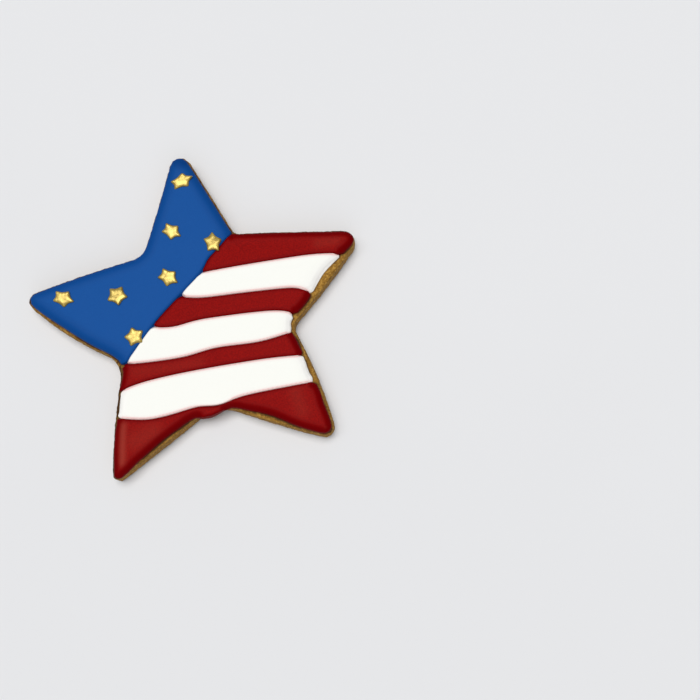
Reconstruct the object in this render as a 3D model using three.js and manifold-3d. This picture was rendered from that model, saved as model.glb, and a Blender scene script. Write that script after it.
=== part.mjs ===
// Iced sugar cookie: a five-pointed star of baked dough, flooded with icing.
// One blue field covers the top and left arms, red and white stripes cover the rest,
// and seven small gold stars lie on the blue. Millimetres, +Z up, the cookie lies on z = 0
// with the middle of its box at x = y = 0.

import * as THREE from 'three';
import { mergeVertices } from 'three/addons/utils/BufferGeometryUtils.js';
import Module from 'manifold-3d';

const wasm = await Module();
wasm.setup();

// Driving dimensions of the dough

const DOUGH_THICKNESS = 7.0;
const SIDE_STEP = 1.9;             // spacing of the points along the cookie's outline
const SIDE_PROFILE = [             // how far the side lies inside the widest outline, at each height
  { inset: 0.9, z: 0 },
  { inset: 0.35, z: 0.3 },
  { inset: 0.0, z: 1.2 },
  { inset: 0.0, z: 3.6 },
  { inset: 0.1, z: 5.4 },
  { inset: 0.25, z: 6.5 },
  { inset: 0.6, z: DOUGH_THICKNESS },
];

// The star's ten corners, clockwise: where its sides would meet, how round the corner is, and
// how far the side that follows it bows out of the straight line.
const CORNERS = [
  { x: -5.6, y: 55.9, round: 3.5, bow: 0.05 },     // top tip
  { x: 13.0, y: 26.1, round: 0.6, bow: 0.1 },      // upper right notch
  { x: 54.1, y: 27.3, round: 3.5, bow: 0.45 },     // right tip
  { x: 31.5, y: -2.8, round: 3.5, bow: 0.85 },     // right notch
  { x: 46.4, y: -38.1, round: 2.9, bow: 0.35 },    // lower right tip
  { x: 8.3, y: -26.9, round: 12.0, bow: 0.15 },    // bottom notch
  { x: -21.9, y: -51.4, round: 1.4, bow: 0.6 },    // lower left tip
  { x: -20.3, y: -14.7, round: 8.2, bow: 1.1 },    // left notch
  { x: -53.1, y: 5.4, round: 2.8, bow: 0.3 },      // left tip
  { x: -14.9, y: 18.9, round: 5.2, bow: -0.15 },    // upper left notch
];

// Driving dimensions of the icing

const BLUE = { height: 2.0, wall: 0.7, shoulder: 1.3, crown: 0.12, soften: 1.1 };
const RED = { height: 1.8, wall: 0.7, shoulder: 1.0, crown: 0.1, soften: 0.9 };
const WHITE = { height: 2.2, wall: 0.8, shoulder: 1.6, crown: 0.2, soften: 1.9 };
const CROWN_REACH = 1.3;           // the top goes on rising for this far inside the shoulder
const SHOULDER_STEPS = 3;          // facets across a rounded shoulder
const SEAM_GAP = 0.24;             // groove between two neighbouring colours
const ICING_STEP = 1.7;            // spacing of the points along an icing outline
const FINE_STEP = 0.4;             // spacing at which outlines are worked out
const DRAW_IN_STEP = 0.15;         // an outline is drawn in by steps of this size
const EVENING = 0.2;               // share by which each step evens out the outline
const ACROSS = 0.75;               // how squarely a point must lie across to count as the far side
const NARROW_SHARE = 0.36;         // share of a narrow place that its shoulder takes from each side
const NEIGHBOURS = [-2, -1, 0, 1, 2];

// The icing's rim follows the widest outline inside it. It has slipped a little to the left, and
// at some places it stops shorter or runs over the edge.
const RIM_SETBACK = 0.5;
const RIM_SLIP = { x: -0.15, y: 0.05 };
const RIM_PLACES = [
  { x: 51.0, y: 23.5, reach: 3.5, more: -0.5 },    // right tip
  { x: 42.3, y: 12.3, reach: 7.6, more: 2.4 },     // bare dough beside the first white stripe
  { x: 32.0, y: -1.5, reach: 3.5, more: 0.8 },     // right notch
  { x: 35.0, y: -9.5, reach: 3.5, more: 0.4 },     // end of the third red stripe
  { x: 38.5, y: -16.5, reach: 4.0, more: 1.4 },    // end of the third white stripe
  { x: 41.8, y: -26.5, reach: 3.0, more: 0.4 },    // right side of the lower right arm
  { x: 24.5, y: -32.0, reach: 7.0, more: 1.2 },    // underside of the lower right arm
  { x: 10.2, y: -28.2, reach: 2.8, more: -1.3 },   // icing runs over the edge in the crotch
  { x: 6.3, y: -29.1, reach: 3.2, more: -2.3 },    // and further over it beside the middle
  { x: -6.0, y: -38.5, reach: 6.0, more: 0.5 },    // underside of the lower left arm
  { x: -17.2, y: -48.7, reach: 3.4, more: -0.8 },  // lower left tip
  { x: -22.5, y: -47.0, reach: 3.0, more: 0.3 },   // left side of the lower left arm
  { x: -22.0, y: -31.0, reach: 2.5, more: 0.5 },   // lower corner of the third white stripe
  { x: -22.0, y: -26.5, reach: 3.5, more: 0.7 },   // end of the third white stripe
  { x: -20.5, y: -15.5, reach: 3.0, more: 1.1 },   // bare dough in the left notch
  { x: -38.0, y: -5.0, reach: 10.0, more: 0.6 },   // underside of the left arm
  { x: -50.0, y: 4.0, reach: 3.0, more: 0.2 },     // left tip
];

// The drop of red icing that hangs down the side in the crotch.
const DROP = { x: 7.2, y: -29.4, z: 6.3, length: 4.2, width: 1.3, depth: 1.7, turn: 20 };
const DROP_CLEARANCE = 0.3;
const DROP_FACETS = { round: 18, down: 12 };

// Seams between the colours, each from left to right. The first one divides the blue from the
// stripes and runs from the upper right notch down to the left notch.
const DIVIDE = [
  [12.9, 26.2], [8.4, 20.6], [5.5, 17.3], [3.5, 13.2], [-1.9, 7.0], [-9.4, -1.6], [-14.2, -8.4],
  [-18.6, -15.2],
];
const STRIPES_AT_DIVIDE = 4;       // so many stripes end on the left at the divide, the rest at the rim
const SEAMS = [
  [[3.6, 13.1], [16.3, 15.5], [36.1, 18.7], [46.3, 19.2]],
  [[-2.1, 5.4], [4.3, 5.3], [18.0, 7.0], [31.5, 8.3], [36.6, 6.9]],
  [[-10.0, -3.9], [-4.1, -3.6], [4.8, -1.2], [24.7, 1.3], [32.0, 0.6]],
  [[-18.6, -15.2], [-10.5, -14.4], [-0.7, -12.8], [8.6, -10.1], [21.8, -8.2], [32.0, -5.0]],
  [[-20.8, -23.6], [-12.7, -20.4], [1.5, -17.1], [22.5, -13.5], [35.0, -12.2]],
  [[-21.0, -31.3], [-12.4, -31.8], [-5.6, -30.6], [3.6, -27.9], [9.9, -27.4], [18.0, -24.4], [38.4, -20.3]],
];

// Driving dimensions of the gold stars: five tips and five notches at each of four levels, the
// lowest first, and a point in the middle.
const STAR = { tip: 3.1, notch: 1.75, middle: 1.15 };
const STAR_LEVELS = [              // size of the outline, and the height of its tips and notches
  { scale: 0.94, tipHeight: 0, notchHeight: 0 },
  { scale: 1, tipHeight: 0.5, notchHeight: 0.4 },
  { scale: 0.8, tipHeight: 0.85, notchHeight: 0.68 },
  { scale: 0.4, tipHeight: 1.12, notchHeight: 0.85 },
];
const STAR_CORNERS = 10;
const STAR_PLACES = [              // middle of each star and the direction of one of its tips, in degrees
  { x: -3.1, y: 41.9, turn: 25 },
  { x: -5.9, y: 26.0, turn: -25 },
  { x: 6.7, y: 22.6, turn: 21 },
  { x: -6.5, y: 11.7, turn: -28 },
  { x: -21.7, y: 5.8, turn: -14 },
  { x: -37.9, y: 4.9, turn: -15 },
  { x: -16.0, y: -6.6, turn: -34 },
];

// Finishes

const FINISH = {
  dough: { color: 0xb07d45, roughness: 0.9, metalness: 0 },
  blue: { color: 0x1d4f93, roughness: 0.45, metalness: 0 },
  red: { color: 0x8a1412, roughness: 0.45, metalness: 0 },
  white: { color: 0xfbfbf7, roughness: 0.45, metalness: 0 },
  gold: { color: 0xc9a553, roughness: 0.35, metalness: 0.7 },
};

// Paths in the plane, as arrays of THREE.Vector2

const point = (x, y) => new THREE.Vector2(x, y);

const mix = (a, b, t) => a.clone().lerp(b, t);

// A curve through a few points, sampled finely.
function smoothPath(places) {
  const curve = new THREE.SplineCurve(places.map(([x, y]) => point(x, y)));
  const count = Math.ceil(curve.getLength() / FINE_STEP);
  return curve.getSpacedPoints(count);
}

// The same closed path with its points an even step apart.
function respace(path, step) {
  const lengths = [0];
  for (let i = 0; i < path.length; i += 1) {
    const next = path[(i + 1) % path.length];
    lengths.push(lengths[i] + path[i].distanceTo(next));
  }
  const total = lengths[path.length];
  const count = Math.round(total / step);
  const result = [];
  let segment = 0;
  for (let k = 0; k < count; k += 1) {
    const target = (total * k) / count;
    while (lengths[segment + 1] < target) segment += 1;
    const span = lengths[segment + 1] - lengths[segment];
    const next = path[(segment + 1) % path.length];
    result.push(mix(path[segment], next, (target - lengths[segment]) / span));
  }
  return result;
}

// The same closed path with each point moved to the average of its neighbours within a reach.
function soften(path, reach) {
  const even = respace(path, FINE_STEP);
  const count = even.length;
  const width = Math.round(reach / FINE_STEP);
  return even.map((_, i) => {
    const sum = point(0, 0);
    for (let k = -width; k <= width; k += 1) sum.add(even[(i + k + count) % count]);
    return sum.divideScalar(2 * width + 1);
  });
}

// Outward direction at each point of a clockwise closed path.
function outwardNormals(path) {
  const count = path.length;
  return path.map((_, i) => {
    const along = path[(i + 1) % count].clone().sub(path[(i + count - 1) % count]);
    return point(-along.y, along.x).normalize();
  });
}

// A clockwise closed path moved inwards by a distance, or by a distance for each point.
function inset(path, distance) {
  const normals = outwardNormals(path);
  return path.map((p, i) => {
    const amount = typeof distance === 'function' ? distance(p) : distance;
    return p.clone().addScaledVector(normals[i], -amount);
  });
}

// Index of the point of a path that lies nearest to a place.
function nearestIndex(path, place) {
  let best = 0;
  path.forEach((p, i) => {
    if (p.distanceTo(place) < path[best].distanceTo(place)) best = i;
  });
  return best;
}

// The stretch of a closed path that runs on from one place to another.
function stretch(path, from, to) {
  const first = nearestIndex(path, from);
  const last = nearestIndex(path, to);
  const steps = (last - first + path.length) % path.length;
  return Array.from({ length: steps + 1 }, (_, k) => path[(first + k) % path.length]);
}

// The stretch of the divide that runs up from one place to another.
function divideUp(divide, from, to) {
  const first = nearestIndex(divide, from);
  const last = nearestIndex(divide, to);
  return divide.slice(last, first + 1).reverse();
}

// The cookie's outline: sides that bow out, joined by round corners.
function cookieOutline() {
  const count = CORNERS.length;
  const arcs = CORNERS.map((corner, i) => {
    const at = point(corner.x, corner.y);
    const before = CORNERS[(i + count - 1) % count];
    const after = CORNERS[(i + 1) % count];
    const back = point(before.x, before.y).sub(at).normalize();
    const ahead = point(after.x, after.y).sub(at).normalize();
    const halfAngle = Math.acos(back.dot(ahead)) / 2;
    const reach = corner.round / Math.tan(halfAngle);
    const start = at.clone().addScaledVector(back, reach);
    const end = at.clone().addScaledVector(ahead, reach);
    const inwards = back.clone().add(ahead).normalize();
    const middle = at.clone().addScaledVector(inwards, corner.round / Math.sin(halfAngle));
    return { start, end, middle, round: corner.round };
  });
  const path = [];
  arcs.forEach((arc, i) => {
    const startAngle = arc.start.clone().sub(arc.middle).angle();
    const endAngle = arc.end.clone().sub(arc.middle).angle();
    const turn = THREE.MathUtils.euclideanModulo(endAngle - startAngle + Math.PI, 2 * Math.PI) - Math.PI;
    const arcSteps = Math.max(2, Math.ceil((Math.abs(turn) * arc.round) / FINE_STEP));
    for (let k = 0; k < arcSteps; k += 1) {
      const angle = startAngle + (turn * k) / arcSteps;
      path.push(point(Math.cos(angle), Math.sin(angle)).multiplyScalar(arc.round).add(arc.middle));
    }
    const next = arcs[(i + 1) % count];
    const side = next.start.clone().sub(arc.end);
    const out = point(-side.y, side.x).normalize();
    const sideSteps = Math.ceil(side.length() / FINE_STEP);
    for (let k = 0; k < sideSteps; k += 1) {
      const t = k / sideSteps;
      const bow = CORNERS[i].bow * 4 * t * (1 - t);
      path.push(mix(arc.end, next.start, t).addScaledVector(out, bow));
    }
  });
  return path;
}

// Distance from the widest outline to the icing's rim at a place on the outline.
function rimSetback(p) {
  return RIM_PLACES.reduce((total, place) => {
    const away = p.distanceTo(point(place.x, place.y)) / place.reach;
    return total + place.more * Math.exp(-away * away);
  }, RIM_SETBACK);
}

// Solids

// A closed body through a stack of outlines with equal numbers of points, bottom one first.
function stackedBody(levels) {
  const count = levels[0].path.length;
  const positions = [];
  levels.forEach(({ path, z }) => {
    [...path].reverse().forEach((p) => positions.push(p.x, p.y, z));
  });
  const index = [];
  for (let level = 0; level + 1 < levels.length; level += 1) {
    const below = level * count;
    const above = below + count;
    for (let i = 0; i < count; i += 1) {
      const next = (i + 1) % count;
      index.push(below + i, below + next, above + next);
      index.push(below + i, above + next, above + i);
    }
  }
  addCap(index, levels[0], 0, false);
  addCap(index, levels[levels.length - 1], (levels.length - 1) * count, true);
  return indexedGeometry(positions, index);
}

// The flat face that closes a stack of outlines below or above.
function addCap(index, level, offset, upwards) {
  const contour = [...level.path].reverse();
  THREE.ShapeUtils.triangulateShape(contour, []).forEach(([a, b, c]) => {
    const edge = contour[b].clone().sub(contour[a]);
    const facesUp = edge.cross(contour[c].clone().sub(contour[a])) > 0;
    const corners = facesUp === upwards ? [a, b, c] : [a, c, b];
    index.push(...corners.map((corner) => corner + offset));
  });
}

function indexedGeometry(positions, index) {
  const geometry = new THREE.BufferGeometry();
  geometry.setAttribute('position', new THREE.Float32BufferAttribute(positions, 3));
  geometry.setIndex(index);
  geometry.computeVertexNormals();
  return geometry;
}

function doughGeometry(outline) {
  const path = respace(outline, SIDE_STEP);
  const levels = SIDE_PROFILE.map((level) => ({ path: inset(path, level.inset), z: level.z }));
  return stackedBody(levels);
}

// A closed mesh as a solid that can be joined and cut.
function toSolid(geometry) {
  const bare = geometry.clone();
  bare.deleteAttribute('normal');
  bare.deleteAttribute('uv');
  const merged = mergeVertices(bare);
  return new wasm.Manifold(new wasm.Mesh({
    numProp: 3,
    vertProperties: new Float32Array(merged.attributes.position.array),
    triVerts: new Uint32Array(merged.index.array),
  }));
}

function fromSolid(solid) {
  const mesh = solid.getMesh();
  return indexedGeometry(mesh.vertProperties, Array.from(mesh.triVerts));
}

// The last red stripe with the drop that hangs over the edge, kept clear of the dough's side.
function withDrop(stripe, outline) {
  const path = respace(outline, SIDE_STEP);
  const clearance = SIDE_PROFILE.map((level) => ({
    path: inset(path, level.inset - DROP_CLEARANCE),
    z: level.z,
  }));
  const drop = new THREE.SphereGeometry(1, DROP_FACETS.round, DROP_FACETS.down);
  drop.rotateX(Math.PI / 2);
  drop.scale(DROP.length, DROP.width, DROP.depth);
  drop.rotateZ(THREE.MathUtils.degToRad(DROP.turn));
  drop.translate(DROP.x, DROP.y, DROP.z);
  const hanging = toSolid(drop).subtract(toSolid(stackedBody(clearance)));
  return fromSolid(toSolid(stripe).add(hanging));
}

// Room to the far side of a clockwise closed path at each of its points, as the least distance
// to any point that lies roughly straight across, taken over a few neighbours too.
function roomAcross(path) {
  const normals = outwardNormals(path);
  const across = path.map((p, i) => path.reduce((least, q) => {
    const length = p.distanceTo(q);
    const depth = p.clone().sub(q).dot(normals[i]);
    return depth > ACROSS * length ? Math.min(least, length) : least;
  }, Infinity));
  const count = path.length;
  return across.map((_, i) => {
    const near = NEIGHBOURS.map((k) => across[(i + k + count) % count]);
    return Math.min(...near);
  });
}

// A clockwise closed path drawn in by small steps and evened out after each one, so that it
// doesn't cross itself at a sharp corner. Where the shape is narrow it is drawn in less.
function drawIn(path, distance) {
  const steps = Math.ceil(distance / DRAW_IN_STEP);
  const count = path.length;
  const strides = roomAcross(path).map((room) => Math.min(distance, room * NARROW_SHARE) / steps);
  let result = path;
  for (let k = 0; k < steps; k += 1) {
    const normals = outwardNormals(result);
    const moved = result.map((p, i) => p.clone().addScaledVector(normals[i], -strides[i]));
    result = moved.map((p, i) => {
      const between = mix(moved[(i + 1) % count], moved[(i + count - 1) % count], 0.5);
      return mix(p, between, EVENING);
    });
  }
  return result;
}

// A pool of icing: a low upright wall round its outline, then a shoulder that rounds over to a
// slightly crowned top.
function icingGeometry(outline, icing) {
  const soft = inset(soften(outline, icing.soften), SEAM_GAP / 2);
  const path = respace(soft, ICING_STEP);
  const levels = [
    { path, z: DOUGH_THICKNESS },
    { path, z: DOUGH_THICKNESS + icing.wall },
  ];
  for (let step = 1; step <= SHOULDER_STEPS; step += 1) {
    const angle = (step / SHOULDER_STEPS) * (Math.PI / 2);
    const distance = icing.shoulder * (1 - Math.cos(angle));
    const rise = (icing.height - icing.wall) * Math.sin(angle);
    levels.push({ path: drawIn(path, distance), z: DOUGH_THICKNESS + icing.wall + rise });
  }
  levels.push({
    path: drawIn(path, icing.shoulder + CROWN_REACH),
    z: DOUGH_THICKNESS + icing.height + icing.crown,
  });
  return stackedBody(levels);
}

// A small star with an upright edge, a sloping margin and five ridges that meet in the middle.
function starGeometry() {
  const positions = STAR_LEVELS.flatMap(({ scale, tipHeight, notchHeight }) => (
    Array.from({ length: STAR_CORNERS }, (_, k) => {
      const isTip = k % 2 === 0;
      const radius = (isTip ? STAR.tip : STAR.notch) * scale;
      const angle = (k * 2 * Math.PI) / STAR_CORNERS;
      return [radius * Math.cos(angle), radius * Math.sin(angle), isTip ? tipHeight : notchHeight];
    }).flat()
  ));
  const middleBelow = STAR_LEVELS.length * STAR_CORNERS;
  const middleAbove = middleBelow + 1;
  positions.push(0, 0, 0, 0, 0, STAR.middle);
  const index = [];
  const last = (STAR_LEVELS.length - 1) * STAR_CORNERS;
  for (let k = 0; k < STAR_CORNERS; k += 1) {
    const next = (k + 1) % STAR_CORNERS;
    index.push(middleBelow, next, k);
    for (let below = 0; below < last; below += STAR_CORNERS) {
      const above = below + STAR_CORNERS;
      index.push(below + k, below + next, above + next);
      index.push(below + k, above + next, above + k);
    }
    index.push(last + k, last + next, middleAbove);
  }
  return indexedGeometry(positions, index);
}

// The cookie

const cookie = new THREE.Group();

function addPiece(name, geometry, finish) {
  const piece = new THREE.Mesh(geometry, new THREE.MeshStandardMaterial(finish));
  piece.name = name;
  cookie.add(piece);
  return piece;
}

const outline = cookieOutline();
const slip = point(RIM_SLIP.x, RIM_SLIP.y);
const rim = inset(outline, rimSetback).map((p) => p.add(slip));
const divide = smoothPath(DIVIDE);
const seams = SEAMS.map(smoothPath);
const startOf = (path) => path[0];
const endOf = (path) => path[path.length - 1];

addPiece('cookie', doughGeometry(outline), FINISH.dough);

const blueOutline = [...divide, ...stretch(rim, endOf(divide), startOf(divide))];
addPiece('blue_icing', icingGeometry(blueOutline, BLUE), FINISH.blue);

// Stripes are numbered from the top, red and white by turns. Each lies between two seams, the
// first one above all seams and the last one below them.
const stripeCount = seams.length + 1;
for (let stripe = 0; stripe < stripeCount; stripe += 1) {
  const upper = stripe === 0 ? null : seams[stripe - 1];
  const lower = stripe === stripeCount - 1 ? null : seams[stripe];
  const upperLeft = upper ? startOf(upper) : startOf(divide);
  const upperRight = upper ? endOf(upper) : startOf(divide);
  const lowerLeft = lower ? startOf(lower) : upperLeft;
  const lowerRight = lower ? endOf(lower) : upperLeft;
  const leftEnd = stripe < STRIPES_AT_DIVIDE
    ? divideUp(divide, lowerLeft, upperLeft)
    : stretch(rim, lowerLeft, upperLeft);
  const stripeOutline = [
    ...(upper ?? []),
    ...stretch(rim, upperRight, lowerRight),
    ...(lower ? [...lower].reverse() : []),
    ...(lower ? leftEnd : []),
  ];
  const isRed = stripe % 2 === 0;
  const number = Math.floor(stripe / 2) + 1;
  const name = isRed ? `red_stripe_${number}` : `white_stripe_${number}`;
  const pool = icingGeometry(stripeOutline, isRed ? RED : WHITE);
  const geometry = stripe === stripeCount - 1 ? withDrop(pool, outline) : pool;
  addPiece(name, geometry, isRed ? FINISH.red : FINISH.white);
}

STAR_PLACES.forEach((place, i) => {
  const star = addPiece(`gold_star_${i + 1}`, starGeometry(), FINISH.gold);
  star.position.set(place.x, place.y, DOUGH_THICKNESS + BLUE.height + BLUE.crown);
  star.rotation.z = THREE.MathUtils.degToRad(place.turn);
});

// The whole is moved so that the middle of its box lies over the origin.
const box = new THREE.Box3().setFromObject(cookie);
const middle = box.getCenter(new THREE.Vector3());
cookie.position.set(-middle.x, -middle.y, 0);

export default cookie;
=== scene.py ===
"""Iced sugar cookie: a five-pointed star of baked dough with a blue field, red and white stripes
of dried icing and seven small gold sugar stars. The pieces are shaped from copies of the solids
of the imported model, in metres and in its frame."""

import math

import bmesh
import bpy
import numpy as np
from bpy.props import FloatProperty, FloatVectorProperty, PointerProperty
from mathutils import Matrix, Vector
from mathutils.kdtree import KDTree


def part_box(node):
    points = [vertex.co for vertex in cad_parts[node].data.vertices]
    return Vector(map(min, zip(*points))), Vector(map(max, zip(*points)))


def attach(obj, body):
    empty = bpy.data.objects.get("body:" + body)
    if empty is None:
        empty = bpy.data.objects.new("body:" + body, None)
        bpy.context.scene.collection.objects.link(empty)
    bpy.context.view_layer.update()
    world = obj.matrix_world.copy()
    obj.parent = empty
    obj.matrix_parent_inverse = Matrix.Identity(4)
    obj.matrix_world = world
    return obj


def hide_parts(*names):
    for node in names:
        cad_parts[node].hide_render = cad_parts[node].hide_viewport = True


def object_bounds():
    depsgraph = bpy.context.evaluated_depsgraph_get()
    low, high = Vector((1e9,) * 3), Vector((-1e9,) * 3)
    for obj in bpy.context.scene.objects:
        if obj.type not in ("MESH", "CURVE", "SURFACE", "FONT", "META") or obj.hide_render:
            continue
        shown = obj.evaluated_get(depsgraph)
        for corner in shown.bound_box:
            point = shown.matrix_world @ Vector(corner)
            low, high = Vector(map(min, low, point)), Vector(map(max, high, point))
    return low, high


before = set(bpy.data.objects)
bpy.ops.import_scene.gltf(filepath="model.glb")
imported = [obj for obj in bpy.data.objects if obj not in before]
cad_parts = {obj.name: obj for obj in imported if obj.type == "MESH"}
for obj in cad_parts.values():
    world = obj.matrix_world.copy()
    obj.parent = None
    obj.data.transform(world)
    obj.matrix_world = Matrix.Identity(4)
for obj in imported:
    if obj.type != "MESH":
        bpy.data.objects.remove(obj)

bl_info = {
    "name": "Iced Sugar Cookie",
    "version": (1, 0, 0),
    "blender": (4, 5, 0),
    "location": "View3D > Sidebar > Cookie",
    "description": "Bakes, floods and decorates a star-shaped sugar cookie",
    "category": "Object",
}

CAD_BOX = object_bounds()

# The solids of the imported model, by finish

DOUGH_SOLID = "cookie"
BLUE_SOLID = "blue_icing"
RED_SOLIDS = [f"red_stripe_{number}" for number in range(1, 5)]
WHITE_SOLIDS = [f"white_stripe_{number}" for number in range(1, 4)]
STAR_SOLIDS = [f"gold_star_{number}" for number in range(1, 8)]

BODY = "root"

# Measures that several pieces share, in metres

MILLIMETRE = 0.001
DOUGH_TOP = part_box(DOUGH_SOLID)[1].z
MERGE_DISTANCE = 1e-6
LEVEL = 5e-5                       # a point within this of the dough's top lies on it
UPRIGHT = 0.35                     # a side or a wall has normals that rise or dip less than this


def linear(red, green, blue):
    """A colour given as 0 to 255 on the screen, as the linear values that materials take."""
    shares = (value / 255 for value in (red, green, blue))
    return tuple(s / 12.92 if s <= 0.04045 else ((s + 0.055) / 1.055) ** 2.4 for s in shares)


def length(name, description, default, low=0.0, high=1.0):
    """A length in metres that shows in the sidebar."""
    return FloatProperty(
        name=name, description=description, default=default, min=low, max=high,
        precision=5, unit='LENGTH',
    )


def share(name, description, default):
    """A share from 0 to 1 that shows in the sidebar as a slider."""
    return FloatProperty(
        name=name, description=description, default=default, min=0.0, max=1.0, subtype='FACTOR',
    )


def colour(name, description, default):
    """A colour that shows in the sidebar."""
    return FloatVectorProperty(
        name=name, description=description, default=default, size=3, min=0.0, max=1.0,
        subtype='COLOR',
    )


# Settings that a user would change


class COOKIE_PG_dough(bpy.types.PropertyGroup):
    """Sizes and colours of the baked dough"""

    grid: length("Grid", "Size of the squares that the dough's skin is made of", 0.0004)
    swell: length("Swell", "Height of the broad swellings left by baking", 0.00030)
    crumb: length("Crumb", "Height of the coarse crumb on the cut side", 0.00036)
    pore: length("Pores", "Depth of the deepest pore in the underside", 0.0005)
    golden: colour("Golden", "Colour of most of the side", linear(142, 101, 32))
    pale: colour("Pale crumb", "Colour where the crumb is least baked", linear(188, 143, 64))
    # also used for the pits and for the painted shade beside the icing and along the far top edge
    brown_and_shade: colour("Browned", "Colour of the edges that baked most", linear(70, 44, 16))
    roughness: share("Roughness", "How dull the dough is", 0.78)


class COOKIE_PG_icing(bpy.types.PropertyGroup):
    """Sizes and colours of the three icings"""

    grid: length("Grid", "Size of the squares that the icing's skin is made of", 0.00027)
    foot: length("Foot", "How far the icing sinks into the dough below it", 0.0006)
    spread: length("Spread", "How far each colour spreads towards its neighbours", 0.00018)
    unevenness: length("Unevenness", "Height of the slow waves in the surface", 0.00022)
    blue: colour("Blue", "Colour of the blue field", linear(22, 81, 154))
    # partly the blue running thin, partly painted shade on its shoulders and seams
    blue_thin_and_shaded: colour("Blue edge", "Colour where the blue runs thin", linear(8, 58, 124))
    red: colour("Red", "Colour of the red stripes", linear(145, 8, 5))
    # partly the red running thin, partly painted shade on its shoulders and seams
    red_thin_and_shaded: colour("Red edge", "Colour where the red runs thin", linear(106, 0, 3))
    # colour of the painted highlights on the red stripes
    red_highlight: colour("Pale red", "Colour where the red dried paler", linear(156, 58, 46))
    white: colour("White", "Colour of the white stripes", linear(245, 246, 241))
    # painted light: a little lighter than the white, lifting its shaded shoulders and seams
    white_painted_light: colour("White edge", "Colour where the white runs thin", linear(250, 249, 246))
    bleed: colour("Bleed", "Colour of the white where red has run into it", linear(226, 150, 150))
    bleed_reach: length("Bleed reach", "How far red runs into the white", 0.00022)


class COOKIE_PG_stars(bpy.types.PropertyGroup):
    """Sizes and colours of the gold sugar stars"""

    tip: length("Tip", "From the middle of a star to a tip", 0.0031)
    notch: length("Notch", "From the middle of a star to a notch", 0.00192)
    height: length("Height", "From the underside of a star to its middle", 0.00115)
    sink: length("Sink", "How far a star is pressed into the icing", 0.0002)
    dent: length("Dents", "Depth of the small dents in the gold", 0.00014)
    gold: colour("Gold", "Colour of the gold dust", linear(186, 162, 84))
    dark: colour("Worn gold", "Colour where the gold dust lies thin", linear(152, 130, 60))
    # colour of the painted shade on the stars' steep edges
    edge_shade: colour("Edge", "Colour of the steep edges", linear(150, 126, 64))
    metal: share("Metal", "How metallic the gold dust is", 0.50)
    roughness: share("Roughness", "How dull the gold dust is", 0.36)


class COOKIE_PG_stage(bpy.types.PropertyGroup):
    """The floor, the lights and the camera"""

    floor_size: length("Floor size", "Side of the square floor", 6.0, 0.5, 20.0)
    floor: colour("Floor", "Colour of the floor", linear(226, 227, 230))
    key: FloatProperty(
        name="Key light", description="Strength of the soft light almost straight above",
        default=2.18, min=0.0,
    )
    side: FloatProperty(
        name="Side light", description="Strength of the small light on the left",
        default=0.25, min=0.0,
    )
    fill: FloatProperty(
        name="Fill light", description="Strength of the wide light in front",
        default=0.45, min=0.0,
    )
    room: FloatProperty(
        name="Room light", description="Strength of the light from all around",
        default=0.20, min=0.0,
    )
    lens: FloatProperty(
        name="Lens", description="Focal length of the camera", default=0.050,
        precision=4, unit='LENGTH',
    )


# Modelling by hand


def select_none():
    """Goes back to object mode with nothing selected."""
    if bpy.context.mode != 'OBJECT':
        bpy.ops.object.mode_set(mode='OBJECT')
    bpy.ops.object.select_all(action='DESELECT')


def select_only(piece):
    """Makes a piece the selected and active one."""
    select_none()
    piece.select_set(True)
    bpy.context.view_layer.objects.active = piece


def select_where(piece, mode, wanted):
    """In edit mode, selects the vertices or faces for which wanted() is true, and no others."""
    bpy.ops.mesh.select_mode(type=mode)
    bpy.ops.mesh.select_all(action='DESELECT')
    mesh = bmesh.from_edit_mesh(piece.data)
    for part in mesh.verts if mode == 'VERT' else mesh.faces:
        if wanted(part):
            part.select_set(True)
    mesh.select_flush_mode()
    bmesh.update_edit_mesh(piece.data)


def apply_modifier(piece, kind, **values):
    """Gives a piece one modifier with these values and applies it."""
    select_only(piece)
    modifier = piece.modifiers.new(kind.title(), kind)
    for key, value in values.items():
        setattr(modifier, key, value)
    bpy.ops.object.modifier_apply(modifier=modifier.name)


def even_out(piece, rounds, **values):
    """Smooths a piece's skin in this many rounds."""
    apply_modifier(piece, 'SMOOTH', factor=0.5, iterations=rounds, **values)


def ruffle(piece, texture, strength, **values):
    """Pushes a piece's skin in and out by a texture that is laid on its own coordinates."""
    apply_modifier(
        piece, 'DISPLACE', texture=texture, strength=strength, mid_level=0.5,
        texture_coords='LOCAL', **values)


def clouds(name, size, detail=2, contrast=1.0):
    """A soft cloudy texture for pushing a surface in and out."""
    texture = bpy.data.textures.new(name, 'CLOUDS')
    texture.noise_scale = size
    texture.noise_depth = detail
    texture.noise_basis = 'ORIGINAL_PERLIN'
    texture.contrast = contrast
    return texture


def copy_of_solid(solid, name):
    """A new piece with a merged copy of the mesh of one solid."""
    piece = bpy.data.objects.new(name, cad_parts[solid].data.copy())
    bpy.context.scene.collection.objects.link(piece)
    piece.data.materials.clear()
    select_only(piece)
    bpy.ops.object.mode_set(mode='EDIT')
    bpy.ops.mesh.select_all(action='SELECT')
    bpy.ops.mesh.remove_doubles(threshold=MERGE_DISTANCE)
    bpy.ops.object.mode_set(mode='OBJECT')
    return piece


def places(piece):
    """Places of a piece's vertices, one row each."""
    found = np.zeros(len(piece.data.vertices) * 3)
    piece.data.vertices.foreach_get("co", found)
    return found.reshape(-1, 3)


def directions(piece):
    """Normals at a piece's vertices, one row each."""
    found = np.zeros(len(piece.data.vertices) * 3)
    piece.data.vertices.foreach_get("normal", found)
    return found.reshape(-1, 3)


def move_to(piece, rows):
    """Puts a piece's vertices at these places."""
    piece.data.vertices.foreach_set("co", rows.ravel())
    piece.data.update()


def smooth_step(values, low, high):
    """0 below low, 1 above high and a soft rise in between."""
    t = np.clip((values - low) / (high - low), 0, 1)
    return t * t * (3 - 2 * t)


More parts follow.
